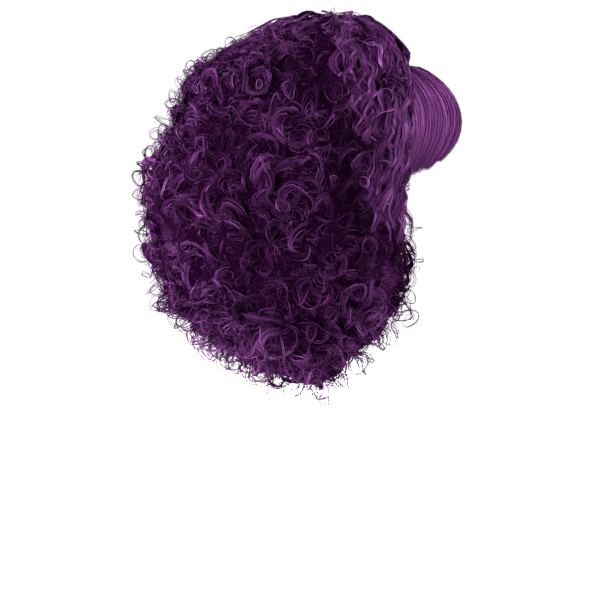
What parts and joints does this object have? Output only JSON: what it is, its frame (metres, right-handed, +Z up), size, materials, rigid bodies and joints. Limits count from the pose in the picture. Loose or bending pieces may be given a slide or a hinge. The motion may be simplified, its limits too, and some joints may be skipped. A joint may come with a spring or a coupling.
{
  "type": "curly wig",
  "caption": "Chin-length curly wig: overlapping rows of tight ringlets, a smooth combed top and a full straight fringe, all sewn to a stretch net cap that is open below for the head.",
  "frame": {"origin": "centre of the cap's head opening, level with the tops of the wearer's ears", "axes": "+Z up, -Y towards the wearer's face, +X to the wearer's left"},
  "size_m": [0.3066, 0.3295, 0.3784],
  "materials": {
    "curls": "curled glossy synthetic fibre, dark purple",
    "straight_hair": "straight glossy synthetic fibre, purple",
    "cap_net": "matt stretch net"
  },
  "bodies": {
    "root": {"cap": "cap_net", "curl_tier_1": "curls", "curl_tier_2": "curls", "curl_tier_3": "curls", "curl_tier_4": "curls", "curl_tier_5": "curls", "curl_tier_6": "curls", "curl_tier_7": "curls", "crown_top": "straight_hair", "fringe": "straight_hair"}
  },
  "joints": []
}
